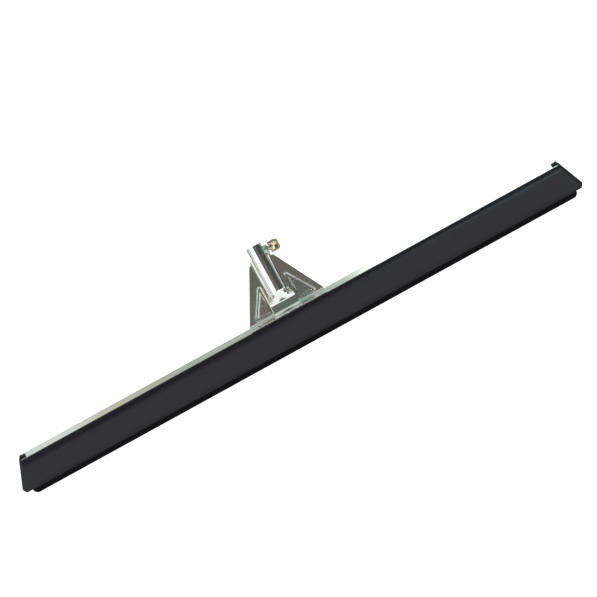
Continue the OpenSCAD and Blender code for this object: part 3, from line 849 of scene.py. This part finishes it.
def lay_floor(stage):
    """A pale floor, white to the camera, with a painted shadow under the bar and a painted pool of light
    that dims far away from it, seen only in reflections.
    """
    mesh = bpy.data.meshes.new("floor")
    corners = [(FLOOR_HALF * x, FLOOR_HALF * y, 0.0) for x, y in ((-1, -1), (1, -1), (1, 1), (-1, 1))]
    mesh.from_pydata(corners, [], [(0, 1, 2, 3)])
    floor = add_object("floor", mesh)
    finish = Finish("pale_floor")
    cloud = finish.noise(finish.place, FLOOR_CLOUDS, detail=2.0, rough=0.5)
    pale = finish.mix(cloud, *FLOOR_TONES)
    away = finish.node("ShaderNodeVectorMath", {0: finish.place}, operation="LENGTH").outputs["Value"]
    # A painted pool of light round the squeegee, for reflections only
    near = finish.ramp(away, FAR_START, FAR_DIM, 1.0, 0.0)
    # A painted shadow in a strip under the bar, clear past its ends
    from_bar = finish.math("ABSOLUTE", finish.math("SUBTRACT", finish.reach(REARWARD), BAR_Y), 0.0)
    beside = finish.ramp(from_bar, STRIP_DIM, STRIP_CLEAR)
    from_middle = finish.math("ABSOLUTE", finish.reach(ALONG), 0.0)
    past_end = finish.ramp(from_middle, BAR_END - STRIP_END, BAR_END)
    clear = finish.math("MAXIMUM", beside, past_end)
    lit = finish.math("MULTIPLY", near, clear)
    seen = finish.node("ShaderNodeLightPath").outputs["Is Camera Ray"]
    glow = finish.mix(finish.math("MAXIMUM", lit, seen), DIM_LIGHT, FULL_LIGHT)
    ground = finish.mix(finish.math("MAXIMUM", near, seen), FAR_GROUND, pale)
    finish.set(Base_Color=ground, Roughness=0.9, Emission_Color=glow, Emission_Strength=stage.floor_glow)
    mesh.materials.append(finish.material)


def direction(azimuth, elevation):
    """The way to a place in the room, from its azimuth to the right of the camera and its elevation."""
    level = math.cos(elevation)
    return Vector((level * math.sin(azimuth), -level * math.cos(azimuth), math.sin(elevation)))


def light_studio(scene):
    """A pale room that is dim behind the camera, with soft panels around the squeegee."""
    world = bpy.data.worlds.new("studio")
    scene.world = world
    world.use_nodes = True
    graph = Graph(world.node_tree)
    world.node_tree.nodes.clear()
    towards = graph.node("ShaderNodeTexCoord").outputs["Generated"]
    light = graph.mix(graph.ramp(graph.dot(towards, UP), WALL_TOP, CEILING_START), WALLS, CEILING)
    for area in AREAS:
        inside = graph.dot(towards, direction(math.radians(area.azimuth), math.radians(area.elevation)))
        share = graph.ramp(inside, math.cos(math.radians(area.outer)), math.cos(math.radians(area.inner)))
        light = graph.mix(share, light, area.light)
    glow = graph.node("ShaderNodeBackground", {"Color": light, "Strength": 1.0})
    graph.node("ShaderNodeOutputWorld", {"Surface": glow.outputs[0]})


def place_camera(scene, stage):
    """A camera in front of the bar and above it, turned round its line of sight."""
    sight = Vector((0.0, math.cos(stage.elevation), -math.sin(stage.elevation)))
    right = Vector(ALONG)
    level_up = right.cross(sight)
    up = level_up * math.cos(stage.roll) + right * math.sin(stage.roll)
    side = sight.cross(up)
    data = bpy.data.cameras.new("camera")
    data.lens = stage.lens
    data.sensor_width = SENSOR_WIDTH
    data.clip_end = SIGHT_END
    camera = bpy.data.objects.new("camera", data)
    scene.collection.objects.link(camera)
    turn = Matrix((side, up, -sight)).transposed().to_4x4()
    camera.matrix_world = Matrix.Translation(Vector(stage.aim) - sight * stage.distance) @ turn
    scene.camera = camera


class SQUEEGEE_OT_stage(bpy.types.Operator):
    """Set the pale floor, the soft studio light and the camera"""

    bl_idname = "squeegee.stage"
    bl_label = "Studio"

    def execute(self, context):
        stage = context.scene.squeegee_stage
        lay_floor(stage)
        light_studio(context.scene)
        place_camera(context.scene, stage)
        context.scene.view_settings.view_transform = "Standard"
        return {"FINISHED"}


# Panel and registration


class SQUEEGEE_PT_panel(bpy.types.Panel):
    """Lists the steps that dress the squeegee, and its sizes and colours"""

    bl_idname = "SQUEEGEE_PT_panel"
    bl_label = "Floor Squeegee"
    bl_space_type = "VIEW_3D"
    bl_region_type = "UI"
    bl_category = "Squeegee"

    def draw(self, context):
        for step in STEPS:
            self.layout.operator(step.bl_idname)
        for setting in SETTINGS:
            group = getattr(context.scene, setting)
            box = self.layout.box()
            for name in group.__annotations__:
                box.prop(group, name)


SETTINGS = {
    "squeegee_finish": SqueegeeFinish,
    "squeegee_head": SqueegeeHead,
    "squeegee_thread": SqueegeeThread,
    "squeegee_stage": SqueegeeStage,
}
STEPS = (SQUEEGEE_OT_plated_parts, SQUEEGEE_OT_black_parts, SQUEEGEE_OT_clamp_screw, SQUEEGEE_OT_stage)
CLASSES = (*SETTINGS.values(), *STEPS, SQUEEGEE_PT_panel)


def register():
    for each in CLASSES:
        bpy.utils.register_class(each)
    for setting, group in SETTINGS.items():
        setattr(bpy.types.Scene, setting, PointerProperty(type=group))


def unregister():
    for setting in SETTINGS:
        delattr(bpy.types.Scene, setting)
    for each in reversed(CLASSES):
        bpy.utils.unregister_class(each)


def main():
    register()
    bpy.ops.squeegee.plated_parts()
    bpy.ops.squeegee.black_parts()
    bpy.ops.squeegee.clamp_screw()
    bpy.ops.squeegee.stage()


if __name__ == "__main__":
    main()
